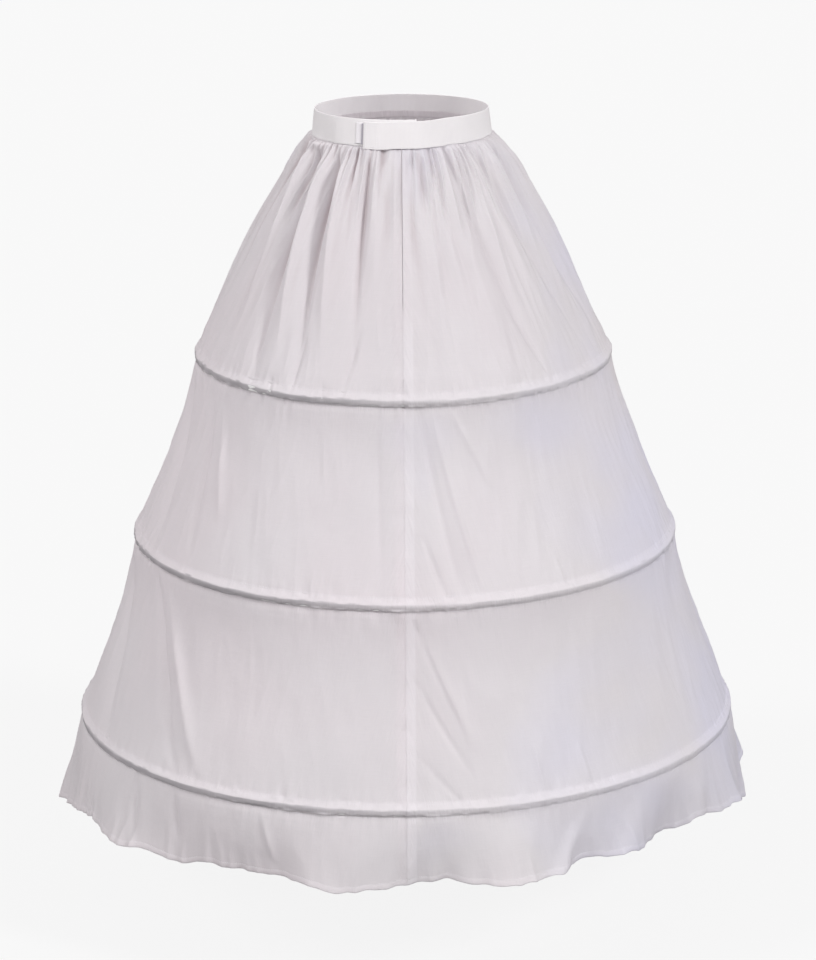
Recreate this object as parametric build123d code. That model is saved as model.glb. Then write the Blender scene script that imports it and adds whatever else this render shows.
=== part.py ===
from build123d import *
from math import asin, cos, degrees, pi, sin
import os

# A three-hoop petticoat. Three cloth panels are gathered onto an elastic waistband that closes
# with hook-and-loop tape, and three spring hoops in sewn casings hold the skirt out as a bell.
# Millimetres, +Z up. The origin is the centre of the waist opening at the band's top edge.
# The closure, its slit and the seam below it face -Y. Heights are depths below the origin.

# Waistband: one strip of wide woven elastic, longer than the waist by its lap
band_height = 34
band_thickness = 1.5
waist_width = 230
waist_depth = 176
flare_width = 8
flare_depth = 24
under_end = 20
over_end = -47
lap_ramp = 40
lap_clearance = 6

# Hook-and-loop closure, sewn to the band's two ends
tape_thickness = 1.0
tape_margin = 4
loop_tape_length = 78
hook_tape_length = 56

# Skirt: each cloth wall stands for thin cloth with its gathers
wall = 1.5
tuck = 12
shoulder = 0.85
yoke_depth = 300
hem_depth = 975
hem_radius = 473
hem_rise = 62
hem_corner = 0.93
hem_corner_rise = 48
slit_width = 1.5
slit_length = 200

# Hoops: flat spring steel in a plastic coat, the outside radius of each ridge and its depth
hoop_places = {"top": (280, 330), "middle": (367, 576), "bottom": (445, 825)}
hoop_height = 7
hoop_thickness = 1.4
hoop_rounding = 0.5
hoop_end_gap = 2
bell_sag = 10
yoke_slope = 0.43

# Sleeves: a crimped tube over the two ends of each hoop
sleeve_wall = 0.5
sleeve_fit = 0.15
sleeve_length = 36

# Casings: a tape sewn behind each hoop along both edges, open where the hoop goes in
casing_above = 12
casing_below = 7
casing_thickness = 1.0
casing_mouth = 3

# Clearance between curved faces that lie against each other
ease = 0.3

# What follows from the sizes above
ridge_ramp = 1.5
ridge_half = hoop_height / 2 + sleeve_fit + sleeve_wall + ease
hoop_face = wall + ease + sleeve_wall + sleeve_fit
casing_face = hoop_face + hoop_thickness + sleeve_fit + sleeve_wall + ease
ridge_depth = casing_face - wall - ease
band_samples = 90


def band_axes(depth, offset):
    """Half width and half depth of the band's outer face at a depth, moved out by an offset."""
    share = depth / band_height
    half_width = (waist_width + flare_width * share) / 2
    half_depth = (waist_depth + flare_depth * share) / 2
    return half_width + offset, half_depth + offset


def band_angle(x):
    """Angle about the waist, from the closure towards +X, of a place x along the closure side."""
    return asin(x / (waist_width / 2))


def strip(first, last, top, bottom, thickness, outer_offset):
    """A strip round the waist between two angles and two depths.

    outer_offset(angle) is how far its outer face stands out from the band's own."""
    sections = []
    for depth in (bottom, top):
        sides = []
        for inward in (0, thickness):
            points = []
            for i in range(band_samples + 1):
                angle = first + (last - first) * i / band_samples
                a, b = band_axes(depth, outer_offset(angle) - inward)
                points.append((a * sin(angle), -b * cos(angle), -depth))
            sides.append(Spline(*points))
        outer, inner = sides
        ends = [Line(outer @ 1, inner @ 1), Line(inner @ 0, outer @ 0)]
        sections.append(Wire([outer, ends[0], inner, ends[1]]))
    return Solid.make_loft(sections, ruled=True)


def band_lap():
    """The band starts at its under end, runs round by -X and laps over itself to its over end."""
    start = band_angle(under_end)
    finish = band_angle(over_end) - 2 * pi
    proud = band_thickness + 2 * tape_thickness + 3 * ease
    ramp_end = start - 2 * pi + lap_clearance / (waist_width / 2)
    ramp_start = ramp_end + lap_ramp / (waist_width / 2)

    def offset(angle):
        share = min(max((ramp_start - angle) / (ramp_start - ramp_end), 0), 1)
        return proud * (1 - cos(pi * share)) / 2

    return strip(start, finish, 0, band_height, band_thickness, offset)


def closure_tape(first_x, length, layer):
    """A tape on the lap: layer 0 is sewn outside the under end, layer 1 inside the over end."""
    first = band_angle(first_x)
    last = first + length / (waist_width / 2)
    outer = (layer + 1) * (tape_thickness + ease)
    return strip(first, last, tape_margin, band_height - tape_margin, tape_thickness, lambda angle: outer)


def bell_pieces():
    """The skirt wall's outside below the yoke, without ridges: for each stretch between two
    hoops, its two (radius, depth) ends and how far it sags in between."""
    top_radius, top_depth = hoop_places["top"]
    yoke_radius = top_radius - ridge_depth - yoke_slope * (top_depth - yoke_depth)
    corners = [(yoke_radius, yoke_depth)]
    corners += [(radius - ridge_depth, depth) for radius, depth in hoop_places.values()]
    corners += [(hem_radius, hem_depth)]
    return list(zip(corners, corners[1:], (0, bell_sag, bell_sag, 0)))


def bell_radius(depth):
    """Radius of the skirt wall's outside at a depth below the yoke."""
    for (r0, d0), (r1, d1), sag in bell_pieces():
        if depth <= d1:
            break
    u = (depth - d0) / (d1 - d0)
    return r0 + (r1 - r0) * u - 4 * sag * u * (1 - u)


def bell_run(start, end):
    """One stretch of the wall's outside between two depths with no hoop between them."""
    middle = (start + end) / 2
    control = 2 * bell_radius(middle) - (bell_radius(start) + bell_radius(end)) / 2
    points = [(bell_radius(start), 0, -start), (control, 0, -middle), (bell_radius(end), 0, -end)]
    return Bezier(*points)


def bell_outline():
    """The wall's outside from yoke to hem, stepping out over a ridge at each hoop."""
    edges = []
    depth = yoke_depth
    for radius, hoop_depth in hoop_places.values():
        reach = ridge_half + ridge_ramp
        above, below = hoop_depth - reach, hoop_depth + reach
        edges.append(bell_run(depth, above))
        ridge = [
            (bell_radius(above), 0, -above),
            (radius, 0, -(hoop_depth - ridge_half)),
            (radius, 0, -(hoop_depth + ridge_half)),
            (bell_radius(below), 0, -below),
        ]
        edges += [Line(p, q) for p, q in zip(ridge, ridge[1:])]
        depth = below
    edges.append(bell_run(depth, hem_depth))
    return edges


def bell_wall():
    """The lower skirt: the outline swept round as a wall, inside face and outside face alike."""
    outer = bell_outline()
    inner = [edge.moved(Location((-wall, 0, 0))) for edge in outer]
    rims = [Line(outer[0] @ 0, inner[0] @ 0), Line(outer[-1] @ 1, inner[-1] @ 1)]
    section = Face(Wire.combine([*outer, *inner, *rims])[0])
    return revolve(section, Axis.Z, 360)


def yoke_solid(inward):
    """The gathered top of the skirt as a full solid, its outside moved in by a distance."""
    neck_depth = band_height - tuck
    neck_in = band_thickness + ease + inward
    neck = []
    for depth in (band_height, neck_depth):
        neck.append(Plane.XY.offset(-depth) * Ellipse(*band_axes(depth, -neck_in)))
    half_width, half_depth = band_axes(band_height, -neck_in)
    end_radius = bell_radius(yoke_depth) - inward
    levels = 8
    sections = []
    for level in range(levels + 1):
        u = level / levels
        spread = u**shoulder
        a = half_width + (end_radius - half_width) * spread
        b = half_depth + (end_radius - half_depth) * spread
        depth = band_height + (yoke_depth - band_height) * u
        sections.append(Plane.XY.offset(-depth) * Ellipse(a, b))
    return loft(neck, ruled=True) + loft(sections)


def hem_cutter():
    """What lies below the hem, which drops to a corner at each side seam."""
    reach = hem_radius + wall
    low, high = -hem_depth, -(hem_depth - hem_rise)
    corner = (hem_corner * hem_radius, low + hem_corner_rise)
    edge = Spline((-reach, low), (-corner[0], corner[1]), (0, high), corner, (reach, low))
    floor = -(hem_depth + hem_rise)
    sides = Polyline((-reach, low), (-reach, floor), (reach, floor), (reach, low))
    section = Plane.XZ * make_face([edge, *sides.edges()])
    return extrude(section, hem_radius * 2, both=True)


def skirt_panels():
    """The front panel behind the side seams, and two back panels that meet at the closure seam."""
    skirt = yoke_solid(0) - yoke_solid(wall) + bell_wall()
    slit_bottom = band_height + slit_length
    slit_place = Pos(0, -hem_radius / 2, -slit_bottom / 2)
    skirt = skirt - hem_cutter() - slit_place * Box(slit_width, hem_radius, slit_bottom)
    size = 2 * (hem_depth + hem_rise)
    front_half = Pos(0, size / 2, 0) * Box(2 * size, size, 2 * size)
    left_back = Pos(-size / 2, -size / 2, 0) * Box(size, size, 2 * size)
    right_back = Pos(size / 2, -size / 2, 0) * Box(size, size, 2 * size)
    return {
        "front_panel": skirt & front_half,
        "back_panel_left": skirt & left_back,
        "back_panel_right": skirt & right_back,
    }


def ring(section, arc, start):
    """A section drawn in the +X half of the XZ plane, turned round Z through an arc in degrees."""
    return Rot(0, 0, start) * revolve(section, Axis.Z, arc)


def hoop(radius, depth):
    """A flat spring strip bent to a ring, its ends a small gap apart at the -X side."""
    middle = radius - hoop_face - hoop_thickness / 2
    section = Plane.XZ * Pos(middle, -depth) * RectangleRounded(hoop_thickness, hoop_height, hoop_rounding)
    gap = degrees(hoop_end_gap / middle)
    return ring(section, 360 - gap, 180 + gap / 2)


def hoop_sleeve(radius, depth):
    """The tube that joins a hoop's ends."""
    middle = radius - hoop_face - hoop_thickness / 2
    bore = [size + 2 * sleeve_fit for size in (hoop_thickness, hoop_height)]
    outside = [size + 2 * sleeve_wall for size in bore]
    bore_rounding = hoop_rounding + sleeve_fit
    tube = RectangleRounded(*outside, bore_rounding + sleeve_wall) - RectangleRounded(*bore, bore_rounding)
    section = Plane.XZ * Pos(middle, -depth) * tube
    arc = degrees(sleeve_length / middle)
    return ring(section, arc, 180 - arc / 2)


def casing(depth):
    """The tape behind a hoop, a wall's clearance inside the skirt, open at the -X side."""
    outer = [(bell_radius(place) - wall - ease, -place) for place in (depth - casing_above, depth)]
    outer.append((outer[-1][0], -(depth + ridge_half)))
    outer.append((bell_radius(depth + casing_below) - wall - ease, -(depth + casing_below)))
    inner = [(r - casing_thickness, z) for r, z in reversed(outer)]
    section = Plane.XZ * make_face(Polyline(*outer, *inner, close=True))
    gap = degrees(casing_mouth / outer[0][0])
    return ring(section, 360 - gap, 180 + gap / 2)


nodes = {
    "waistband": band_lap(),
    "loop_tape": closure_tape(under_end - loop_tape_length, loop_tape_length, 0),
    "hook_tape": closure_tape(over_end + tape_margin, hook_tape_length, 1),
    **skirt_panels(),
}
for place, (hoop_radius, hoop_depth) in hoop_places.items():
    nodes["hoop_" + place] = hoop(hoop_radius, hoop_depth)
    nodes["hoop_sleeve_" + place] = hoop_sleeve(hoop_radius, hoop_depth)
    nodes["casing_" + place] = casing(hoop_depth)

os.makedirs("parts", exist_ok=True)
for name, shape in nodes.items():
    export_step(shape, "parts/" + name + ".step")
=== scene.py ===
from math import cos, pi, radians, sin

import bpy
import numpy as np
from mathutils import Matrix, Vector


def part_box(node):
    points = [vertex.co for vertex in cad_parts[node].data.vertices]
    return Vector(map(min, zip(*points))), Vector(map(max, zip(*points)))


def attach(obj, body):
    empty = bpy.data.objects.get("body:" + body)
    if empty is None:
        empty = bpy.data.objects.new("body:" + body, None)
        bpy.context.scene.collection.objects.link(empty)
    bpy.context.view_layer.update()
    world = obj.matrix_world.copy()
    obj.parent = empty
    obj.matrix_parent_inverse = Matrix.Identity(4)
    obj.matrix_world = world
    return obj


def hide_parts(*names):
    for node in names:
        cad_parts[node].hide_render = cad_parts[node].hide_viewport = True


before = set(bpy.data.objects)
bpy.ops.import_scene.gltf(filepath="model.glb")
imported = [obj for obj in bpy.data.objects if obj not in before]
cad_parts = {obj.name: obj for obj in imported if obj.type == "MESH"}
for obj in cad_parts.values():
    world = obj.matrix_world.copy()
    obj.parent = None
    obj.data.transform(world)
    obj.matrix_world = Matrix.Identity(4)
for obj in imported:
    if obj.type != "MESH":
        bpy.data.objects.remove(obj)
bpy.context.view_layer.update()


# ---------------------------------------------------------------------------------------------
# Skirt: three panels of thin plain-woven polyester, seamed edge to edge and gathered onto the
# waistband. It falls from the band to the top hoop, is held out by the three hoops, and ends in
# a free flounce with a narrow turned hem. All places are angles from the closure towards +X and
# depths below the waist, in metres.

band_height = -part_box("waistband")[0][2]
band_half_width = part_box("waistband")[1][0]
band_half_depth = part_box("waistband")[1][1]
hem_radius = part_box("front_panel")[1][0]
hem_corner_depth = -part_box("front_panel")[0][2] + 0.004
hem_middle_depth = 0.913
hem_drop = 0.046
waist_half_width = 0.115
waist_half_depth = 0.088
flare_width = band_half_width - waist_half_width
flare_depth = band_half_depth - waist_half_depth
neck_depth = band_height - 0.010
inside_band = 0.0020
yoke_depth = 0.300
yoke_slope = 0.43
ridge_height = 0.0030
strip_inset = 0.00245

hoops = []
for place in ("top", "middle", "bottom"):
    low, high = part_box("hoop_" + place)
    hoops.append((high[0] + strip_inset, -(low[2] + high[2]) / 2))

run_depths = np.array([yoke_depth, *(depth for _, depth in hoops), hem_corner_depth])
top_run = hoops[0][0] - ridge_height - yoke_slope * (hoops[0][1] - yoke_depth)
run_radii = np.array([top_run, *(radius - ridge_height for radius, _ in hoops), hem_radius])
run_sags = np.array([0.0, 0.010, 0.010, 0.0])


def ease_in(share):
    """0 before a stretch, 1 after it, smooth at both ends."""
    share = np.clip(share, 0.0, 1.0)
    return share * share * (3 - 2 * share)


def wall_radius(depth):
    """The smooth wall below the yoke: from hoop to hoop, sagging inwards in between."""
    run = np.clip(np.searchsorted(run_depths, depth, side="right") - 1, 0, len(run_sags) - 1)
    share = (depth - run_depths[run]) / (run_depths[run + 1] - run_depths[run])
    straight = run_radii[run] + (run_radii[run + 1] - run_radii[run]) * share
    return straight - 4.4 * run_sags[run] * share * (1 - share) * (1.35 - share)


def half_axes(depth):
    """Half width and half depth of the skirt: an oval at the waist, round from the top hoop down."""
    spread = np.clip((depth - band_height) / (yoke_depth - band_height), 0, 1) ** 0.88
    flared = np.minimum(depth / band_height, 1)
    radius = wall_radius(np.maximum(depth, yoke_depth))
    neck_width = waist_half_width + flare_width * flared - inside_band
    neck_reach = waist_half_depth + flare_depth * flared - inside_band
    half_width = neck_width * (1 - spread) + radius * spread
    half_depth = neck_reach * (1 - spread) + radius * spread
    return half_width, half_depth


def crumple(theta, depth, around, tall, seed):
    """Smooth random height from -1 to 1, with so many cells round the skirt, each so tall."""
    levels = int(1.1 / tall) + 3
    cells = np.random.default_rng(seed).uniform(-1, 1, (levels, around))
    u = (theta / (2 * pi) % 1.0) * around
    v = np.clip(depth / tall, 0, levels - 1.001)
    i, j = np.floor(u).astype(int), np.floor(v).astype(int)
    fu, fv = ease_in(u - i), ease_in(v - j)
    i0, i1 = i % around, (i + 1) % around
    upper = cells[j, i0] * (1 - fu) + cells[j, i1] * fu
    lower = cells[j + 1, i0] * (1 - fu) + cells[j + 1, i1] * fu
    return upper * (1 - fv) + lower * fv


def pleats(theta, depth, around, tall, seed, drift=0.03):
    """Random pleats with crisp crests that wander a little on their way down."""
    wander = drift * crumple(theta, depth, 14, 0.18, seed + 500)
    return 0.7 - 2 * np.abs(crumple(theta + wander, depth, around, tall, seed))


def turn(theta, centre):
    """Angle from a centre, between -pi and pi."""
    return (theta - centre + pi) % (2 * pi) - pi


def bump_at(theta, centre, half_width):
    """A smooth bump from 0 to 1 and back about a centre, all in radians."""
    return np.exp(-((turn(theta, centre) / half_width) ** 2))


def waver(theta, around, seed):
    """Smooth random height round the skirt that is the same all the way down."""
    return crumple(theta, theta * 0, around, 0.5, seed)


# Fine gathers straight under the band, one for each pleat of the gathering thread.
gather_count = 84
gather_rng = np.random.default_rng(31)
gathers = []
for number in range(gather_count):
    centre = (number + gather_rng.uniform(-0.32, 0.32)) * 2 * pi / gather_count
    gathers.append((centre, gather_rng.uniform(0.0016, 0.0044), gather_rng.uniform(0.05, 0.15)))

# Folds that the gathers run together into: angle at the top and at the foot in degrees, depth of
# the top and the foot, half width and height in metres. They are strongest near the waist.
yoke_folds = [
    (-84, -80, 0.036, 0.300, 0.010, -0.007),
    (-74, -63, 0.036, 0.320, 0.010, -0.016),
    (-68, -59, 0.036, 0.280, 0.009, 0.010),
    (-64, -56, 0.036, 0.170, 0.006, -0.008),
    (-58, -45, 0.036, 0.350, 0.011, -0.023),
    (-50, -38, 0.040, 0.330, 0.010, 0.012),
    (-41, -30, 0.036, 0.345, 0.009, -0.018),
    (-34, -24, 0.040, 0.310, 0.009, 0.010),
    (-28, -22, 0.036, 0.170, 0.006, -0.006),
    (-19, -14, 0.036, 0.340, 0.008, -0.012),
    (-13, -8, 0.040, 0.300, 0.011, 0.005),
    (-4, -3, 0.036, 0.240, 0.006, 0.003),
    (3, 8, 0.040, 0.280, 0.008, -0.006),
    (9, 20, 0.036, 0.280, 0.008, -0.006),
    (14, 24, 0.036, 0.220, 0.009, 0.005),
    (16, 27, 0.036, 0.260, 0.007, -0.006),
    (22, 34, 0.036, 0.330, 0.014, 0.006),
    (27, 45, 0.036, 0.340, 0.009, -0.010),
    (42, 56, 0.036, 0.330, 0.014, 0.007),
    (48, 67, 0.036, 0.335, 0.009, -0.010),
    (60, 74, 0.036, 0.320, 0.012, 0.007),
    (66, 80, 0.036, 0.335, 0.009, -0.009),
    (78, 86, 0.036, 0.300, 0.010, 0.006),
]
far_rng = np.random.default_rng(7)
for number in range(21):
    centre = 88 + number * 9.0 + far_rng.uniform(-2.5, 2.5)
    foot = far_rng.uniform(0.16, 0.33)
    height = far_rng.uniform(0.008, 0.016) * (-1 if number % 2 else 0.7)
    yoke_folds.append((centre, centre + far_rng.uniform(-4, 4), 0.038, foot, 0.011, height))

# Slack folds in the wall between hoops, and the flutes of the flounce, in the same form. They are
# strongest half-way down, and a negative height is a hollow.
wall_folds = [
    (-49, -46, 0.24, 0.325, 0.004, -0.004),
    (-31, -32, 0.26, 0.327, 0.003, -0.004),
    (-13, -17, 0.24, 0.327, 0.003, -0.004),
    (36, 45, 0.22, 0.325, 0.004, -0.003),
    (-40, -38, 0.308, 0.333, 0.0040, -0.0022),
    (-38, -37, 0.312, 0.336, 0.0030, 0.0014),
    (-23, -22, 0.308, 0.331, 0.0034, -0.0018),
    (-56, -55, 0.308, 0.332, 0.0034, -0.0016),
    (-82, -68, 0.35, 0.56, 0.014, -0.009),
    (-63, -53, 0.35, 0.55, 0.007, -0.006),
    (-57, -47, 0.36, 0.50, 0.010, 0.004),
    (-7, -5, 0.36, 0.56, 0.006, -0.003),
    (4, 12, 0.335, 0.575, 0.008, -0.0045),
    (7, 17, 0.335, 0.575, 0.004, 0.0030),
    (12, 23, 0.335, 0.45, 0.004, 0.0020),
    (4, 9, 0.49, 0.575, 0.0035, -0.004),
    (34, 35, 0.53, 0.572, 0.0025, 0.0015),
    (-83, -66, 0.60, 0.82, 0.018, -0.010),
    (-64, -44, 0.585, 0.81, 0.008, -0.008),
    (-58, -38, 0.60, 0.81, 0.012, 0.006),
    (1, 11, 0.585, 0.74, 0.0040, -0.0032),
    (3, 13, 0.61, 0.76, 0.008, 0.0040),
    (1, 12, 0.66, 0.79, 0.0035, -0.0032),
    (1, 10, 0.75, 0.82, 0.0035, -0.0026),
    (23, 24, 0.75, 0.822, 0.0025, 0.002),
    (32, 33, 0.76, 0.822, 0.0025, 0.002),
    (-53, -50, 0.832, 0.915, 0.006, -0.004),
    (-43, -41, 0.832, 0.900, 0.005, -0.003),
    (-25, -22, 0.832, 0.900, 0.005, 0.003),
]
for number in range(16):
    centre = 92 + number * 11.5 + far_rng.uniform(-4, 4)
    lean = far_rng.uniform(-7, 7)
    height = far_rng.uniform(0.003, 0.008) * (-1 if number % 2 else 1)
    wall_folds.append((centre, centre + lean, 0.34, 0.57, far_rng.uniform(0.008, 0.02), height))
    wall_folds.append((centre + 5, centre - lean, 0.59, 0.82, far_rng.uniform(0.01, 0.025), height))


def fold_shape(theta, depth, reach, folds, fading):
    """Heights of a list of folds at places on the skirt, where reach is the radius there."""
    total = np.zeros(np.broadcast(theta, depth).shape)
    for start, end, top, foot, width, height in folds:
        share = (depth - top) / (foot - top)
        rows = np.nonzero((share > 0).any(axis=1) & (share < 1).any(axis=1))[0]
        if not len(rows):
            continue
        rows = slice(rows[0], rows[-1] + 1)
        part = np.clip(share[rows], 0, 1)
        centre = np.radians(start + (end - start) * part)
        away = reach[rows] * turn(theta[rows], centre) / width
        if fading:
            along = ease_in(part / 0.10) * (1 - ease_in((part - 0.25) / 0.75))
        else:
            along = np.sin(pi * part) ** 0.8
        total[rows] += height * along * np.exp(-(np.abs(away) ** 1.45))
    return total


# Flutes of the flounce: angle at the hoop and at the hem, half width in degrees, how far it
# stands out at the hem and how far the hem drops there.
flutes = [
    (-66, -66, 6.0, 0.004, 0.001),
    (-57, -54, 6.5, 0.016, 0.009),
    (-43, -41, 5.0, -0.004, 0.013),
    (-28, -28, 9.0, -0.010, 0.005),
    (-9, -10, 8.0, 0.019, 0.008),
    (4, 4, 6.0, -0.013, 0.000),
    (16, 17, 7.0, 0.030, 0.000),
    (32, 25, 1.6, 0.008, 0.000),
    (32, 31, 4.0, -0.006, -0.007),
    (43, 38, 2.6, 0.011, -0.006),
    (51, 49, 4.5, -0.021, -0.001),
    (61, 57, 3.2, 0.008, -0.011),
    (70, 70, 6.5, 0.013, -0.007),
    (80, 81, 6.0, -0.005, 0.001),
]
flute_rng = np.random.default_rng(19)
angle = 92.0
while angle < 272:
    width = flute_rng.uniform(4.5, 8.5)
    side = 1 if len(flutes) % 2 else -1
    end = angle + flute_rng.uniform(-3, 3)
    flutes.append((angle, end, width, side * flute_rng.uniform(0.010, 0.018), 0.002))
    angle += width * 1.75


def flounce_shape(theta, share):
    """Outward swing of the flounce, where share is 0 under the bottom hoop and 1 at the hem."""
    swing = np.zeros(np.broadcast(theta, share).shape)
    for start, end, width, height, _ in flutes:
        centre = np.radians(start + (end - start) * share)
        swing += height * bump_at(theta, centre, radians(width))
    fall, lean = share * 0.1, theta + 0.05 * share
    small = 0.004 * crumple(theta, fall, 70, 0.1, 43) + 0.0022 * pleats(theta, fall, 150, 0.1, 44)
    small = small + 0.0022 * np.minimum(pleats(lean, fall, 74, 0.1, 45), 0.2)
    return (swing + small) * np.clip(share, 0, 1.05) ** 1.3


def hem_depth(theta):
    """Depth of the hem: level round most of the skirt, dropping to a corner at each side seam."""
    level = hem_middle_depth + hem_drop * np.abs(np.sin(theta)) ** 24
    for _, end, width, _, drop in flutes:
        level = level + drop * bump_at(theta, radians(end), radians(width))
    return level + 0.0020 * waver(theta, 100, 41) + 0.0012 * waver(theta, 230, 42)


# the cloth's step over a hoop: distance below the hoop's middle and height, in millimetres
ridge_below = [-13.2, -12.2, -11.4, -8.0, -5.4, -4.2, -3.2, 0.0, 3.2, 4.0, 4.7, 5.5, 6.7, 9.0, 14.0, 24.0]
ridge_out = [0.0, -0.45, -0.1, 1.0, 2.3, 3.1, 3.0, 1.8, 0.8, 0.2, -0.7, -1.5, -1.9, -1.6, -0.6, 0.0]


def ridge_shape(below):
    """Outward step of the cloth over a hoop: a slope, the upright strip, a tuck under it."""
    return np.interp(below * 1000, ridge_below, ridge_out) / 1000


def cloth_height(theta, depth):
    """How far the cloth stands out from the smooth bell: gathers, folds, ridges and creases."""
    half_width, half_depth = half_axes(depth)
    reach = np.sqrt((half_width**2 + half_depth**2) / 2)
    below_band = depth - band_height
    out = 0.0014 * ease_in(below_band / 0.003) * (1 - ease_in((below_band - 0.012) / 0.070))
    for centre, height, length in gathers:
        away = reach * turn(theta, centre) / (0.0021 + 0.024 * np.clip(below_band, 0, 1))
        along = ease_in(below_band / 0.0035) * (1 - ease_in((below_band - 0.004) / length))
        out = out + height * along * np.exp(-away * away)
    out = out + fold_shape(theta, depth, reach, yoke_folds, True)
    out = out + fold_shape(theta, depth, reach, wall_folds, False)
    begun = ease_in(below_band / 0.005)
    out = out + 0.0040 * begun * (1 - ease_in(below_band / 0.27)) * pleats(theta, depth, 66, 0.30, 21)
    out = out + 0.0028 * begun * (1 - ease_in(below_band / 0.13)) * pleats(theta, depth, 150, 0.12, 22)

    # slack between the hoops, and small creases everywhere the cloth is free
    hoop_depths = [hoop_depth for _, hoop_depth in hoops]
    free = np.ones_like(depth)
    for hoop_depth in hoop_depths:
        free = free * (1 - 0.93 * np.exp(-(((depth - hoop_depth) / 0.040) ** 2)))
    free = free * ease_in(below_band / 0.09)
    out = out + 0.0026 * free * crumple(theta, depth, 26, 0.16, 3)
    out = out + 0.0011 * free * crumple(theta, depth, 64, 0.07, 4)
    out = out + 0.0007 * free * pleats(theta + 0.5 * depth, depth, 84, 0.10, 5)
    out = out + 0.0005 * free * pleats(theta - 0.4 * depth, depth, 130, 0.06, 6)

    # ridges over the hoops, with the puckers that their stitch lines draw up
    for number, hoop_depth in enumerate(hoop_depths):
        below = depth - hoop_depth
        off = np.abs(below + 0.003)
        near = ease_in((off - 0.0035) / 0.004) * np.exp(-off / 0.016) + 0.22 * np.exp(-((off / 0.004) ** 2))
        patchy = 0.3 + 0.9 * ease_in(waver(theta, 19, 50 + number) * 0.9 + 0.4)
        pucker = crumple(theta, depth, 230 + 70 * number, 0.02, 60 + number)
        pucker = pucker + pleats(theta, depth, 150 + 45 * number, 0.06, 70 + number)
        sway = 0.0007 * waver(theta, 44, 80 + number) + 0.0004 * waver(theta, 130, 83)
        step = ridge_shape(below + sway) * (1 + 0.12 * waver(theta, 75, 90 + number))
        loose = 1 - 0.70 * ease_in((np.sin(theta) + 0.15) / 0.6)
        out = out + np.where(step < 0, step * loose, step)
        out = out + 0.0019 * near * patchy * pucker

    share = (depth - hoop_depths[-1] - 0.012) / (hem_depth(theta) - hoop_depths[-1] - 0.012)
    out = out + flounce_shape(theta, np.clip(share, 0, 1.05))
    return out


def skirt_place(theta, depth, lift=0.0):
    """Points on the skirt's outside, lifted off it by so much."""
    half_width, half_depth = half_axes(depth)
    out = cloth_height(theta, depth) + lift
    sine, cosine = np.sin(theta), np.cos(theta)
    across, along = sine / half_width, -cosine / half_depth
    size = np.hypot(across, along)
    x = half_width * sine + out * across / size
    y = -half_depth * cosine + out * along / size
    return np.stack([x, y, -depth + 0 * x], -1)


def skirt_rows():
    """Depths of the rows of the cloth's net: close together at the band and over the hoops."""
    rows, depth = [], neck_depth
    while depth < hoops[-1][1] + 0.026:
        rows.append(depth)
        near = min(abs(depth - hoop_depth) for _, hoop_depth in hoops)
        step = min(0.0054, 0.0008 + 0.115 * near, 0.0012 + 0.055 * max(depth - band_height, 0))
        depth += step
    return np.array(rows)


# the turned hem: height above the hem's edge and how far inside the outer face, down and back up
hem_turn = [
    (0.0095, 0), (0.0080, 0), (0.0072, 0.0002), (0.0064, 0), (0.0040, -0.0001), (0.0015, -0.0001),
    (0.0004, 0.0001), (0.0000, 0.0006), (0.0004, 0.0012), (0.0015, 0.0015), (0.0045, 0.0015),
    (0.0072, 0.0014), (0.0080, 0.0012),
]  # fmt: skip
# a panel's edge beside its seam, where the cloth turns under: distance from the seam and inset
edge_turn = [(0.0120, 0.0012), (0.0060, 0.0012), (0.0008, 0.0011), (0.0001, 0.0005)]
edge_steps = [0, 0.2, 0.8, 1.8, 3.2, 5.2, 7.2, 9.4, 11.6, 13.4, 14.5, 15.1, 15.9, 17.5, 20.5, 25.0]
edge_steps = np.array(edge_steps) / 1000
closure_slit = 0.200 + band_height


def net_faces(rows, columns):
    """The squares of a net of points, row by row."""
    index = np.arange(rows * columns).reshape(rows, columns)
    squares = np.stack([index[:-1, :-1], index[1:, :-1], index[1:, 1:], index[:-1, 1:]], -1)
    return squares.reshape(-1, 4).tolist()


def ring_faces(rows, columns):
    """The squares of a net whose rows are closed rings."""
    index = np.arange(rows * columns).reshape(rows, columns)
    wrapped = np.roll(index, -1, axis=1)
    squares = np.stack([index[:-1], wrapped[:-1], wrapped[1:], index[1:]], -1)
    return squares.reshape(-1, 4).tolist()


def make_piece(name, net, faces, coordinates, flat):
    """A smooth piece from a net of points, with its own flat coordinates in metres."""
    mesh = bpy.data.meshes.new(name)
    mesh.from_pydata(net.reshape(-1, 3).tolist(), [], faces)
    mesh.shade_smooth()
    corners = np.array([loop.vertex_index for loop in mesh.loops])
    mesh.uv_layers.new(name=coordinates).data.foreach_set("uv", flat.reshape(-1, 2)[corners].ravel())
    piece = bpy.data.objects.new(name, mesh)
    bpy.context.scene.collection.objects.link(piece)
    return piece


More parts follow.
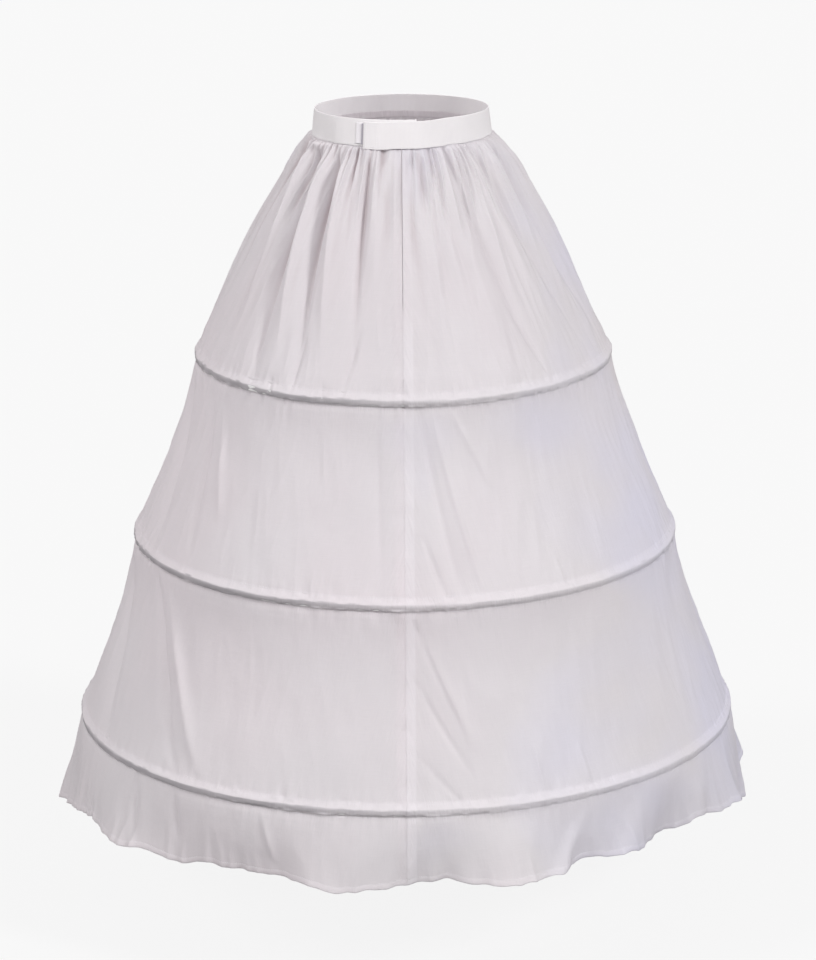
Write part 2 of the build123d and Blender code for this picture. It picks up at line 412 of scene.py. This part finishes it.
def sew_panel(name, first, last, columns, facing):
    """A panel between two seams, as a net of one layer of cloth with turned edges and hem.

    facing is how far a doubled edge reaches from the first seam, seen as a flat raised band."""
    rows = skirt_rows()
    flounce_top = rows[-1]
    drops = np.linspace(0, 1, 18)[1:]
    count = len(rows) + len(drops) + len(hem_turn)
    middle = np.linspace(0, 1, columns + 2)[1:-1]
    edge = len(edge_turn) + len(edge_steps)
    width = 2 * edge + len(middle)

    # depth of each row, and its inset at the turned hem, worked out again at the final angles
    def depths_at(theta):
        hem = hem_depth(theta)
        depth, inset = np.empty(theta.shape), np.zeros(theta.shape)
        depth[: len(rows)] = rows[:, None]
        last_drop = hem - hem_turn[0][0] - 0.0015
        span = last_drop[len(rows) : len(rows) + len(drops)] - flounce_top
        depth[len(rows) : len(rows) + len(drops)] = flounce_top + span * drops[:, None]
        for number, (above, inside) in enumerate(hem_turn):
            row = len(rows) + len(drops) + number
            depth[row] = hem[row] - above
            inset[row] = inside
        return depth, inset

    start = np.full((count, width), (first + last) / 2)
    depth, _ = depths_at(start)
    half_width, half_depth = half_axes(depth)
    seam_reach = []
    for seam in (first, last):
        seam_reach.append(np.hypot(half_width[:, :1] * cos(seam), half_depth[:, :1] * sin(seam)))
    turned = [distance for distance, _ in edge_turn]
    first_side = first + np.array([*turned, *edge_steps]) / seam_reach[0]
    last_side = last - np.array([*edge_steps[::-1], *turned[::-1]]) / seam_reach[1]
    left, right = first_side[:, -1:], last_side[:, :1]
    theta = np.hstack([first_side, left + (right - left) * middle, last_side])

    depth, inset = depths_at(theta)
    insets = [inside for _, inside in edge_turn]
    inset[:, : len(insets)] += np.array(insets)
    inset[:, -len(insets) :] += np.array(insets[::-1])

    # the doubled edge stands a little proud, with a crisp far edge, and the seam itself dips
    from_first = (theta - first) * seam_reach[0]
    from_last = (last - theta) * seam_reach[1]
    raised = ease_in((facing - from_first) / 0.0009) * 0.0004 if facing else 0 * theta
    dip = 0.0001 * np.exp(-((from_first / 0.0011) ** 2)) + 0.0001 * np.exp(-((from_last / 0.0011) ** 2))
    pull = 0.0007 * np.exp(-((np.minimum(from_first, from_last) / 0.02) ** 2))
    pull = pull * crumple(theta * 0, depth, 3, 0.013, 90) * ease_in((depth - 0.2) / 0.1)
    place = skirt_place(theta, depth, raised - dip + pull - inset)

    # at the closure the two panels' edges stand a little apart down to the slit's foot
    open_share = 1 - ease_in((depth - closure_slit + 0.03) / 0.03)
    if abs(first) < 0.01:
        place[..., 0] += 0.0005 * open_share * np.exp(-(from_first / 0.004))
    if abs(last) < 0.01:
        place[..., 0] -= 0.0005 * open_share * np.exp(-(from_last / 0.004))

    # the cloth's own coordinates in metres, for its weave
    run = np.zeros(count)
    run[1:] = np.cumsum(np.linalg.norm(np.diff(place[:, width // 2], axis=0), axis=1))
    around = (theta - (first + last) / 2) * (half_width + half_depth) / 2
    cloth = np.stack([around, run[:, None] + 0 * around], -1)
    panel = make_piece(name, place, net_faces(count, width), "Cloth", cloth)

    # where layers lie together, where a hoop is behind with painted shade over it, strongest on the
    # left, and where stitching draws the cloth up
    below_slit = 0.15 + 0.55 * ease_in((depth - closure_slit + 0.02) / 0.04)
    doubled = below_slit * ease_in((facing - from_first) / 0.0009) if facing else 0 * theta
    turned_hem = ease_in((depth - hem_depth(theta) + 0.0085) / 0.001)
    hoop_strip_painted_shade = 0 * theta
    worked = np.exp(-((np.minimum(from_first, from_last) / 0.03) ** 2))
    for _, hoop_depth in hoops:
        below = depth - hoop_depth
        slip = 0.0011 * waver(theta, 50, 95) + 0.0007 * waver(theta, 170, 96)
        strip = ease_in((0.0046 - np.abs(below + slip)) / 0.0014)
        # the painted shade over a hoop is strongest on the left side
        left_side_shade_weight = 0.30 + 0.70 * ease_in((0.05 - np.sin(theta)) / 0.5)
        hoop_strip_painted_shade = np.maximum(hoop_strip_painted_shade, left_side_shade_weight * strip * (0.82 + 0.18 * crumple(theta, depth, 120, 0.02, 97)))
        taped = ease_in((below + 0.0128) / 0.001) * ease_in((0.0075 - below) / 0.001)
        doubled = np.maximum(doubled, 0.4 * taped)
        worked = np.maximum(worked, np.exp(-((below + 0.003) / 0.022) ** 2))
    worked = np.maximum(worked, np.exp(-((depth - band_height) / 0.06) ** 2))

    # hollows between the gathers: how far the cloth lies below the mean of its neighbours, the mask
    # of a painted shade that darkens them, strongest on the left side and near the waist
    out, span = cloth_height(theta, depth), 21
    sums = np.cumsum(np.pad(out, ((0, 0), (span // 2 + 1, span // 2)), mode="edge"), axis=1)
    painted_hollow_shade = np.clip(((sums[:, span:] - sums[:, :-span]) / span - out) / 0.0032, 0, 1)
    hollow_shade_left_weight = 0.22 + 0.68 * ease_in(0.5 - 1.1 * np.sin(theta))
    painted_hollow_shade = painted_hollow_shade * (1 - ease_in((depth - 0.09) / 0.22)) * hollow_shade_left_weight
    layers = np.maximum(doubled, 0.2 * turned_hem)
    marks = {"layers": layers, "hoop_strip_painted_shade": hoop_strip_painted_shade, "worked": worked, "painted_hollow_shade": painted_hollow_shade}
    for label, values in marks.items():
        panel.data.attributes.new(label, "FLOAT", "POINT").data.foreach_set("value", values.ravel())
    return panel


def node_maker(tree):
    """A short way to add nodes to a tree: make(type, inputs) with values or sockets."""

    def make(kind, inputs=(), **settings):
        node = tree.nodes.new(kind if "Node" in kind else "ShaderNode" + kind)
        for key, value in settings.items():
            setattr(node, key, value)
        for key, value in dict(inputs).items():
            if isinstance(value, bpy.types.NodeSocket):
                tree.links.new(value, node.inputs[key])
            else:
                node.inputs[key].default_value = value
        return node

    return make


def spread(make, value, given, wanted):
    """A value turned from one range into another."""
    ends = dict(zip(("From Min", "From Max", "To Min", "To Max"), (*given, *wanted)))
    return make("MapRange", {"Value": value, **ends}).outputs[0]


def clouds(make, vector, scale, detail, roughness=0.5, dimensions="3D"):
    """Random shades from 0 to 1 at a scale."""
    sizes = {"Vector": vector, "Scale": scale, "Detail": detail, "Roughness": roughness}
    return make("TexNoise", sizes, noise_dimensions=dimensions).outputs[0]


def stretched(make, uv, scale, detail, roughness=0.5):
    """Random shades drawn out along or across the cloth."""
    drawn = make("Mapping", {"Vector": uv, "Scale": (*scale, 1)}).outputs[0]
    return clouds(make, drawn, 1.0, detail, roughness, "2D")


def shaded(make, value, *stops):
    """A colour that changes along a value, given as stops of (place, colour)."""
    ramp = make("ValToRGB", {"Fac": value})
    elements = ramp.color_ramp.elements
    elements[0].position, elements[1].position = stops[0][0], stops[-1][0]
    for position, _ in stops[1:-1]:
        elements.new(position)
    for element, (_, colour) in zip(elements, stops):
        element.color = (*colour, 1)
    return ramp.outputs[0]


def cover(material, make, colour, gloss, relief, strength, depth):
    """Joins a colour, a gloss and a fine relief to a material's Principled shader."""
    bump = make("Bump", {"Strength": strength, "Distance": depth, "Height": relief})
    given = {"Base Color": colour, "Roughness": gloss, "Normal": bump.outputs[0]}
    for label, value in given.items():
        if value is not None:
            shader = material.node_tree.nodes["Principled BSDF"]
            material.node_tree.links.new(value, shader.inputs[label])


def new_finish(name, **surface):
    """A material with its Principled shader set to plain values, and the maker of its nodes."""
    material = bpy.data.materials.new(name)
    material.use_nodes = True
    shader = material.node_tree.nodes["Principled BSDF"]
    for key, value in surface.items():
        shader.inputs[key.replace("_", " ")].default_value = value
    return material, shader, node_maker(material.node_tree)


# Thin white polyester with a faint lilac cast: crossed threads that vary in thickness, soft
# creases, painted shade in the hollows between the gathers, a lighter look wherever layers lie
# together, and a grey line of painted shade where a hoop is behind, darkest on the left. The yoke
# and the flounce are a touch greyer than the walls, as painted shade, and the cloth has a painted
# warm tint on the left and a painted lilac sheen on the right.
cloth_finish, shader, make = new_finish(
    "thin_polyester", Roughness=0.52, Specular_IOR_Level=0.32, Sheen_Weight=0.12, Sheen_Roughness=0.35
)
link = cloth_finish.node_tree.links.new
uv = make("UVMap", uv_map="Cloth").outputs["UV"]
place = make("TexCoord").outputs["Object"]
marks = {}
for label in ("layers", "hoop_strip_painted_shade", "worked", "painted_hollow_shade"):
    marks[label] = make("Attribute", attribute_name=label).outputs["Fac"]
warp, weft = stretched(make, uv, (1500, 40), 2.0), stretched(make, uv, (40, 1500), 2.0)
weave = make("Math", {0: warp, 1: weft}, operation="ADD").outputs[0]

# painted light across the skirt: a warm tint on the left and a lilac sheen on the right, over random tone
spot = make("SeparateXYZ", {"Vector": place})
side = spread(make, spot.outputs["X"], (-0.4, 0.4), (-0.20, 0.22))
tone_and_painted_tint = make("Math", {0: clouds(make, place, 4.0, 2.0), 1: side}, operation="ADD").outputs[0]
painted_warm_tint, plain, painted_lilac_sheen = (0.845, 0.795, 0.818), (0.838, 0.806, 0.826), (0.803, 0.788, 0.885)
tone_and_painted_tint = shaded(make, tone_and_painted_tint, (0.28, painted_warm_tint), (0.58, plain), (0.80, painted_lilac_sheen))

weave_and_painted_shade = spread(make, weave, (0.7, 1.3), (0.985, 1.015))
# painted shade: the flounce and the yoke are made a touch greyer than the walls
flounce_painted_shade = spread(make, spot.outputs["Z"], (-0.88, -0.82), (0.93, 1.0))
yoke_painted_shade = spread(make, spot.outputs["Z"], (-0.36, -0.26), (1.0, 0.940))
painted_shade_by_depth = make("Math", {0: flounce_painted_shade, 1: yoke_painted_shade}, operation="MULTIPLY")
weave_and_painted_shade = make("Math", {0: weave_and_painted_shade, 1: painted_shade_by_depth.outputs[0]}, operation="MULTIPLY")
colour = make("VectorMath", {0: tone_and_painted_tint, "Scale": weave_and_painted_shade.outputs[0]}, operation="SCALE").outputs[0]
shades = [
    ("layers", 0.50, (0.905, 0.885, 0.910, 1)),
    # painted shade in the hollows between the gathers, a dark warm grey
    ("painted_hollow_shade", 1.00, (0.60, 0.53, 0.545, 1)),
]
for label, strength, shade in shades:
    share = make("Math", {0: marks[label], 1: strength}, operation="MULTIPLY").outputs[0]
    colour = make("Mix", {0: share, 6: colour, 7: shade}, data_type="RGBA").outputs[2]
# painted shade over a hoop's strip: the colour and the light let through are darkened there
strip_painted_shade = make("Math", {0: marks["hoop_strip_painted_shade"], 1: 0.52}, operation="MULTIPLY").outputs[0]
strip_painted_shade = make("Mix", {0: strip_painted_shade, 6: colour, 7: (0.36, 0.335, 0.365, 1)}, data_type="RGBA")
let_through_painted_shade = make("Mix", {0: marks["hoop_strip_painted_shade"], 6: colour, 7: (0.15, 0.135, 0.17, 1)}, data_type="RGBA")
link(strip_painted_shade.outputs[2], shader.inputs["Base Color"])

crush = clouds(make, place, 38.0, 3.0, 0.55)
drawn = stretched(make, uv, (230, 34), 3.0, 0.6)
drawn = make("Math", {0: drawn, 1: marks["worked"]}, operation="MULTIPLY").outputs[0]
reliefs = [
    (stretched(make, uv, (60, 14), 4.0, 0.62), 0.32, 0.0024),
    (crush, 0.24, 0.0020),
    (drawn, 0.8, 0.0011),
    (weave, 0.2, 0.0001),
]
below = {}
for height, strength, depth in reliefs:
    fine = make("Bump", {"Strength": strength, "Distance": depth, "Height": height, **below})
    below = {"Normal": fine.outputs[0]}
link(fine.outputs[0], shader.inputs["Normal"])
link(spread(make, crush, (0.3, 0.7), (0.46, 0.60)), shader.inputs["Roughness"])
through = make("BsdfTranslucent", {"Color": let_through_painted_shade.outputs[2], **below})
both = make("MixShader", {0: 0.40, 1: shader.outputs[0], 2: through.outputs[0]})
link(both.outputs[0], cloth_finish.node_tree.nodes["Material Output"].inputs["Surface"])

quarter = pi / 2
panels = [
    ("skirt_back_left", "back_panel_left", -quarter, 0.0, 300, 0, (0.76, 1.00), 0.545),
    ("skirt_back_right", "back_panel_right", 0.0, quarter, 300, 0.0130, (0.76, 1.00), 0.545),
    ("skirt_front", "front_panel", quarter, 3 * quarter, 300, 0, (1.50, 1.00), 1.08),
]
for name, node, first, last, columns, facing, cut, area in panels:
    panel = sew_panel(name, first, last, columns, facing)
    panel.data.materials.append(cloth_finish)
    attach(panel, "root")
    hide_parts(node)


# ---------------------------------------------------------------------------------------------
# Casings: a tape of the same cloth behind each hoop, sewn to the skirt along both edges. It stays
# open for a few millimetres at the left side, where the hoop goes in.

# across the tape: height below the hoop and how far in from the smooth wall
casing_run = [
    (-0.0132, -0.0014), (-0.0110, -0.0014), (-0.0070, -0.0036), (-0.0050, -0.0052),
    (0.0052, -0.0052), (0.0070, -0.0032), (0.0090, -0.0028),
]  # fmt: skip
half_mouth = 0.0016
for place_name, (radius, hoop_depth) in zip(("top", "middle", "bottom"), hoops):
    turns = -quarter + np.linspace(half_mouth / radius, 2 * pi - half_mouth / radius, 361)
    slack = 0.0002 * waver(turns, 160, 80)
    casing_points = []
    for below, inward in casing_run:
        depth = hoop_depth + below + 0 * turns
        across = wall_radius(depth) + inward + slack
        casing_points.append(np.stack([across * np.sin(turns), -across * np.cos(turns), -depth], -1))
    net = np.array(casing_points)
    lengths = np.array([below for below, _ in casing_run])
    flat = np.stack(np.broadcast_arrays(turns[None] * radius, lengths[:, None]), -1)
    tape = make_piece("casing_tape_" + place_name, net, net_faces(*net.shape[:2]), "Cloth", flat)
    doubled = np.full(len(tape.data.vertices), 0.5)
    tape.data.attributes.new("layers", "FLOAT", "POINT").data.foreach_set("value", doubled)
    tape.data.materials.append(cloth_finish)
    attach(tape, "root")
    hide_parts("casing_" + place_name)


# ---------------------------------------------------------------------------------------------
# Hoops: flat spring steel in a white plastic coat, one in each casing. Each is bent to a ring and
# its ends meet in a crimped steel sleeve at the left side seam.

coat, shader, make = new_finish("white_hoop_coat", Specular_IOR_Level=0.45, Coat_Weight=0.1)
place = make("TexCoord").outputs["Object"]
dirt, grain = clouds(make, place, 22.0, 4.0), clouds(make, place, 420.0, 3.0)
shade = shaded(make, dirt, (0, (0.72, 0.72, 0.71)), (1, (0.86, 0.86, 0.86)))
cover(coat, make, shade, spread(make, dirt, (0, 1), (0.32, 0.5)), grain, 0.2, 0.0001)

steel, shader, make = new_finish("crimped_steel", Metallic=1.0)
place = make("TexCoord").outputs["Object"]
drawn = make("Mapping", {"Vector": place, "Scale": (900, 40, 900)}).outputs[0]
drawn, spots = clouds(make, drawn, 1.0, 3.0), clouds(make, place, 240.0, 4.0)
shade = shaded(make, spots, (0, (0.46, 0.46, 0.47)), (1, (0.68, 0.68, 0.70)))
cover(steel, make, shade, spread(make, drawn, (0, 1), (0.22, 0.48)), drawn, 0.4, 0.0001)

for place_name in ("top", "middle", "bottom"):
    for node, finish in (("hoop_", coat), ("hoop_sleeve_", steel)):
        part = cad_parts[node + place_name]
        part.data.materials.clear()
        part.data.materials.append(finish)


# ---------------------------------------------------------------------------------------------
# Waistband: one strip of wide woven elastic. Its under end lies behind the closure, it runs round
# the waist, and its over end laps back over the closure, turned under and held by hook-and-loop.

elastic_thickness = 0.0015
under_end = 0.020
over_end = -0.047
lap_step = 0.0044


def band_turn(x):
    """Angle of a place x along the closure side of the band."""
    return np.arcsin(x / waist_half_width)


def arc(length):
    """Angle that a length takes up along the band."""
    return length / waist_half_width


def strip_place(theta, height, outward):
    """Points a height below the waist's edge, moved out from the band's own outer face."""
    share = height / band_height
    half_width = waist_half_width + flare_width * share + outward
    half_depth = waist_half_depth + flare_depth * share + outward
    return np.stack([half_width * np.sin(theta), -half_depth * np.cos(theta), -height], -1)


def lay_strip(name, theta, top, bottom, thickness, outward, droop, edge_waves=0.0, seed=1):
    """A closed strip of webbing with rounded edges along a run of angles round the waist."""
    rows = 22
    heights = top + (bottom - top) * (1 - np.cos(np.linspace(0, pi, rows))) / 2
    side = np.abs(np.linspace(-1, 1, rows))
    bulge = (1 - side**14) ** 0.5 * thickness / 2
    ring_heights = np.concatenate([heights, heights[::-1][1:-1]])
    ring_out = np.concatenate([bulge, -bulge[::-1][1:-1]])
    stations = []
    wave = edge_waves * waver(theta, 70, seed)
    for number, angle in enumerate(theta):
        ends = min(number, len(theta) - 1 - number)
        pinch = (0.35, 0.8, 1.0)[min(ends, 2)]
        centre = outward[number] - thickness / 2
        edge_lean = wave[number] * (ring_heights - top) / (bottom - top)
        stations.append(
            strip_place(
                np.full(len(ring_heights), angle),
                ring_heights + droop[number] + edge_lean * 0.4,
                centre + ring_out * pinch + edge_lean,
            )
        )
    net = np.array(stations)
    faces = ring_faces(*net.shape[:2])
    faces += [list(range(len(ring_heights)))[::-1], list(range(net[..., 0].size))[-len(ring_heights) :]]
    along = np.concatenate([[0], np.cumsum(np.linalg.norm(np.diff(net[:, 0], axis=0), axis=1))])
    flat = np.stack(np.broadcast_arrays(along[:, None], ring_heights[None]), -1)
    return make_piece(name, net, faces, "Webbing", flat)


def woven_finish(name, light, dark, ribs, rows, depth):
    """Matt white webbing: ribs across its width, rows along it, fuzz, and painted shade in its grooves."""
    material, shader, make = new_finish(name, Specular_IOR_Level=0.25, Sheen_Weight=0.15, Sheen_Roughness=0.5)
    uv = make("UVMap", uv_map="Webbing").outputs["UV"]
    place = make("TexCoord").outputs["Object"]
    parts = make("SeparateXYZ", {"Vector": uv})
    waves = []
    for axis, pitch in (("X", ribs), ("Y", rows)):
        wave = make("Math", {0: parts.outputs[axis], 1: 2 * pi / pitch}, operation="MULTIPLY")
        waves.append(make("Math", {0: wave.outputs[0]}, operation="SINE").outputs[0])
    knit = make("Math", {0: waves[0], 1: waves[1]}, operation="ADD").outputs[0]
    fuzz, soil = clouds(make, place, 900.0, 3.0), clouds(make, place, 18.0, 4.0)
    relief = make("Math", {0: fuzz, 1: 1.5, 2: knit}, operation="MULTIPLY_ADD").outputs[0]
    # the colour is darker where the relief is low, as painted shade, and in random patches
    level = spread(make, relief, (-1.2, 2.6), (0.0, 1.0))
    groove_shade_and_mottle = make("Math", {0: level, 1: soil}, operation="MULTIPLY").outputs[0]
    shade = shaded(make, groove_shade_and_mottle, (0.10, dark), (0.42, light))
    cover(material, make, shade, spread(make, fuzz, (0, 1), (0.7, 0.92)), relief, 0.3, depth)
    return material


elastic_finish = woven_finish(
    "woven_elastic", (0.765, 0.742, 0.752), (0.695, 0.672, 0.682), 0.0016, 0.0009, 0.00016
)

band_start, band_finish = band_turn(under_end), band_turn(over_end) - 2 * pi
band_theta = np.linspace(band_start, band_finish, 520)
ramp_end = band_start - 2 * pi + arc(0.006)
ramp_share = ease_in((ramp_end + arc(0.040) - band_theta) / arc(0.040))
end_share = ease_in((band_finish + arc(0.030) - band_theta) / arc(0.012))
band_outward = lap_step * ramp_share + 0.0012 * end_share
band_wave = 0.0006
band_droop = 0.0012 * (ramp_share + ease_in((band_finish + arc(0.06) - band_theta) / 0.5))
waistband = lay_strip(
    "elastic_waistband", band_theta, 0.0, band_height, elastic_thickness,
    band_outward, band_droop, band_wave, 11
)  # fmt: skip
waistband.data.materials.append(elastic_finish)
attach(waistband, "root")
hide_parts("waistband")

# the over end is turned under once, which makes it double there
turned_theta = np.linspace(band_finish + arc(0.024), band_finish + arc(0.0006), 40)
turned_end = lay_strip(
    "turned_band_end", turned_theta, 0.0006, band_height - 0.0006, 0.0012,
    np.full(40, lap_step - 0.0004), 0.0024 + 0 * turned_theta
)  # fmt: skip
turned_end.data.materials.append(elastic_finish)
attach(turned_end, "root")


# ---------------------------------------------------------------------------------------------
# Closure: loop tape sewn outside the band's under end, hook tape sewn inside its over end. The
# loop tape is longer, and its end shows beside the lap. The hook tape reaches a few millimetres
# past the over end and is coloured dark grey, as a painted shadow beside the lap.

loop_finish = woven_finish(
    "napped_loop_tape", (0.84, 0.81, 0.84), (0.74, 0.715, 0.74), 0.0011, 0.0011, 0.0003
)
# dark grey hook tape: a painted shadow where its end shows beside the lap
hook_painted_shadow_finish = woven_finish(
    "hook_tape_painted_shadow", (0.50, 0.475, 0.53), (0.36, 0.34, 0.39), 0.0014, 0.0014, 0.0004
)
tape_margin, tape_thickness, tape_ease = 0.004, 0.0010, 0.0003
tapes = [
    ("loop_side", "loop_tape", loop_finish, under_end - 0.078, 0.078, 1),
    ("hook_side", "hook_tape", hook_painted_shadow_finish, over_end - 0.0035, 0.0605, 2),
]
for name, node, finish, start_x, length, layer in tapes:
    theta = np.linspace(band_turn(start_x), band_turn(start_x) + arc(length), 90)[::-1]
    outward, droop = np.full(90, layer * (tape_thickness + tape_ease)), np.full(90, 0.0006 * layer)
    bottom = band_height - tape_margin
    tape = lay_strip(name, theta, tape_margin, bottom, tape_thickness, outward, droop)
    tape.data.materials.append(finish)
    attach(tape, "root")
    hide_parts(node)


# ---------------------------------------------------------------------------------------------
# Stitching: white polyester lockstitch. One run lies above and one below each hoop, one along the
# turned hem, one along the band's lower edge, and rows hold the tapes and the band's over end.

thread_finish, shader, make = new_finish("white_thread", Roughness=0.6, Sheen_Weight=0.2)
place = make("TexCoord").outputs["Object"]
twist = clouds(make, place, 1800.0, 2.0)
shade = shaded(make, twist, (0, (0.70, 0.69, 0.71)), (1, (0.88, 0.87, 0.89)))
cover(thread_finish, make, shade, None, twist, 0.5, 0.0001)


def stitch_tree():
    """Geometry Nodes that lay one stitch after another along a drawn line."""
    tree = bpy.data.node_groups.new("lay_stitches", "GeometryNodeTree")
    face = tree.interface
    face.new_socket("Geometry", in_out="INPUT", socket_type="NodeSocketGeometry")
    sizes = (("Pitch", 0.003), ("Stitch length", 0.0024), ("Thread width", 0.0004), ("Unevenness", 0.12))
    for label, value in sizes:
        socket = face.new_socket(label, in_out="INPUT", socket_type="NodeSocketFloat")
        socket.default_value = value
    seed = face.new_socket("Seed", in_out="INPUT", socket_type="NodeSocketInt")
    seed.default_value = 1
    face.new_socket("Material", in_out="INPUT", socket_type="NodeSocketMaterial")
    face.new_socket("Geometry", in_out="OUTPUT", socket_type="NodeSocketGeometry")
    make = node_maker(tree)
    given = make("NodeGroupInput").outputs
    line = make("GeometryNodeMeshToCurve", {"Mesh": given["Geometry"]}).outputs[0]
    spacing = {"Curve": line, "Length": given["Pitch"]}
    spaced = make("GeometryNodeResampleCurve", spacing, mode="LENGTH").outputs[0]
    bead = make("GeometryNodeMeshUVSphere", {"Segments": 6, "Rings": 4, "Radius": 0.5})
    tangent = make("GeometryNodeInputTangent").outputs[0]
    turned = make("FunctionNodeAlignRotationToVector", {"Vector": tangent}, axis="Z").outputs[0]
    width, length = given["Thread width"], given["Stitch length"]
    size = make("ShaderNodeCombineXYZ", {"X": width, "Y": width, "Z": length}).outputs[0]
    low = make("ShaderNodeMath", {0: 1.0, 1: given["Unevenness"]}, operation="SUBTRACT").outputs[0]
    draw = {2: low, 3: 1.0, "Seed": given["Seed"]}
    uneven = make("FunctionNodeRandomValue", draw, data_type="FLOAT").outputs[1]
    scaled = make("ShaderNodeVectorMath", {0: size, "Scale": uneven}, operation="SCALE").outputs[0]
    stitch = {"Points": spaced, "Instance": bead.outputs["Mesh"], "Rotation": turned, "Scale": scaled}
    laid = make("GeometryNodeInstanceOnPoints", stitch).outputs[0]
    solid = make("GeometryNodeRealizeInstances", {0: laid}).outputs[0]
    smooth = make("GeometryNodeSetShadeSmooth", {0: solid}).outputs[0]
    paint = {"Geometry": smooth, "Material": given["Material"]}
    make("NodeGroupOutput", {0: make("GeometryNodeSetMaterial", paint).outputs[0]})
    return tree


stitches = stitch_tree()


def sew(name, lines, **sizes):
    """A piece of stitching along drawn lines, made a plain mesh."""
    points, edges = [], []
    for line in lines:
        first = len(points)
        points += np.asarray(line).tolist()
        edges += [(number, number + 1) for number in range(first, len(points) - 1)]
    drawn = bpy.data.meshes.new(name + "_line")
    drawn.from_pydata(points, edges, [])
    seam = bpy.data.objects.new(name, drawn)
    bpy.context.scene.collection.objects.link(seam)
    modifier = seam.modifiers.new("stitches", "NODES")
    modifier.node_group = stitches
    sockets = {item.name: item.identifier for item in stitches.interface.items_tree if item.in_out == "INPUT"}
    for label, value in {"Material": thread_finish, **sizes}.items():
        modifier[sockets[label.replace("_", " ")]] = value
    bpy.context.view_layer.update()
    graph = bpy.context.evaluated_depsgraph_get()
    solid = bpy.data.meshes.new_from_object(seam.evaluated_get(graph), depsgraph=graph)
    seam.modifiers.clear()
    seam.data = solid
    bpy.data.meshes.remove(drawn)
    if not solid.materials:
        solid.materials.append(thread_finish)
    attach(seam, "root")
    return seam


hoop_lines = []
all_round = np.linspace(-pi, pi, 1441)[None]
for _, hoop_depth in hoops:
    for below in (-0.0122, 0.0066):
        hoop_lines.append(skirt_place(all_round, hoop_depth + below + 0 * all_round, 0.00015)[0])
sew("hoop_stitching", hoop_lines, Seed=5)
hem_line = skirt_place(all_round, hem_depth(all_round) - 0.0072, -0.0001)[0]
sew("hem_stitching", [hem_line], Seed=6)

band_lines = []
lower = band_theta[6:-6]
wave = band_wave * waver(lower, 70, 11)
lower_height = band_height - 0.0030
lift = band_outward[6:-6] + wave * 0.9 + 0.0001
band_lines.append(strip_place(lower, lower_height + band_droop[6:-6], lift))
box_out = lap_step + 0.0013
left, right, margin = over_end + 0.0035, over_end + 0.0170, 0.0035
corners = [(left, margin), (left, band_height - margin)]
corners += [(right, band_height - margin), (right, margin)]
share = np.linspace(0, 1, 12)
for (x0, h0), (x1, h1) in zip(corners, corners[1:] + corners[:1]):
    theta = band_turn(x0 + (x1 - x0) * share)
    band_lines.append(strip_place(theta, h0 + (h1 - h0) * share + 0.0024, box_out + 0 * share))
theta = band_turn(under_end - 0.0755 + 0 * share)
band_lines.append(strip_place(theta, 0.0045 + 0.025 * share, 0.0014 + 0 * share))
sew("band_stitching", band_lines, Pitch=0.0028, Stitch_length=0.0022, Seed=7)


# ---------------------------------------------------------------------------------------------
# Studio: a plain pale floor that rises into a sweep far away, soft light from everywhere, a broad
# lamp on the right and a weaker one on the left. The petticoat hangs at the height of a waist.

floor_depth = 1.10
rings = [(0.01, 0.0), (4.0, 0.0), (12.0, 0.0), (16.0, 0.4), (19.0, 2.0), (21.0, 6.0), (22.0, 30.0)]
spokes = 96
around = np.linspace(0, 2 * pi, spokes, endpoint=False)
net = []
for ring_radius, height in rings:
    ring_height = np.full(spokes, height - floor_depth)
    net.append(np.stack([ring_radius * np.cos(around), ring_radius * np.sin(around), ring_height], -1))
net = np.array(net)
faces = [face[::-1] for face in ring_faces(len(rings), spokes)] + [list(range(spokes))]
floor = make_piece("floor", net, faces, "Floor", net[..., :2])
paper, shader, make = new_finish(
    "pale_floor", Base_Color=(0.06, 0.06, 0.06, 1), Roughness=0.9, Specular_IOR_Level=0.0,
    Emission_Color=(1, 1, 1, 1), Emission_Strength=0.865
)  # fmt: skip
floor.data.materials.append(paper)
floor.visible_diffuse = False
floor.visible_glossy = False
floor.visible_transmission = False
floor.visible_shadow = False

world = bpy.data.worlds.new("studio")
bpy.context.scene.world = world
world.use_nodes = True
make = node_maker(world.node_tree)
up = make("SeparateXYZ", {0: make("TexCoord").outputs["Generated"]}).outputs["Z"]
low, level, overhead = (0.14, 0.137, 0.14), (1.0, 0.99, 0.99), (0.82, 0.812, 0.82)
sky = shaded(make, spread(make, up, (-1, 1), (0, 1)), (0.30, low), (0.56, level), (1.0, overhead))
background = world.node_tree.nodes["Background"]
world.node_tree.links.new(sky, background.inputs["Color"])
background.inputs["Strength"].default_value = 0.80


def add_lamp(name, azimuth, elevation, strength, softness, colour):
    """A broad far lamp: azimuth from the closure side towards +X, elevation above the floor."""
    lamp = bpy.data.lights.new(name, "SUN")
    lamp.energy = strength
    lamp.angle = radians(softness)
    lamp.color = colour
    holder = bpy.data.objects.new(name, lamp)
    bpy.context.scene.collection.objects.link(holder)
    turn_round = Matrix.Rotation(radians(azimuth), 4, "Z")
    tip = Matrix.Rotation(radians(90 - elevation), 4, "X")
    holder.matrix_world = turn_round @ tip


add_lamp("key_lamp", 50, 34, 1.85, 11, (1.0, 0.995, 1.0))
add_lamp("fill_lamp", -60, 36, 1.30, 16, (1.0, 0.985, 0.985))

camera = bpy.data.objects.new("camera", bpy.data.cameras.new("camera"))
bpy.context.scene.collection.objects.link(camera)
camera.data.lens = 159.63
camera.data.sensor_width = 36
camera.data.clip_end = 200
aim = Matrix.Rotation(radians(90 - 16.33), 4, "X") @ Matrix.Rotation(radians(-0.45), 4, "Z")
camera.matrix_world = Matrix.Translation((0.0048, -5.517, 1.104)) @ aim
bpy.context.scene.camera = camera
bpy.context.scene.view_settings.view_transform = "Standard"
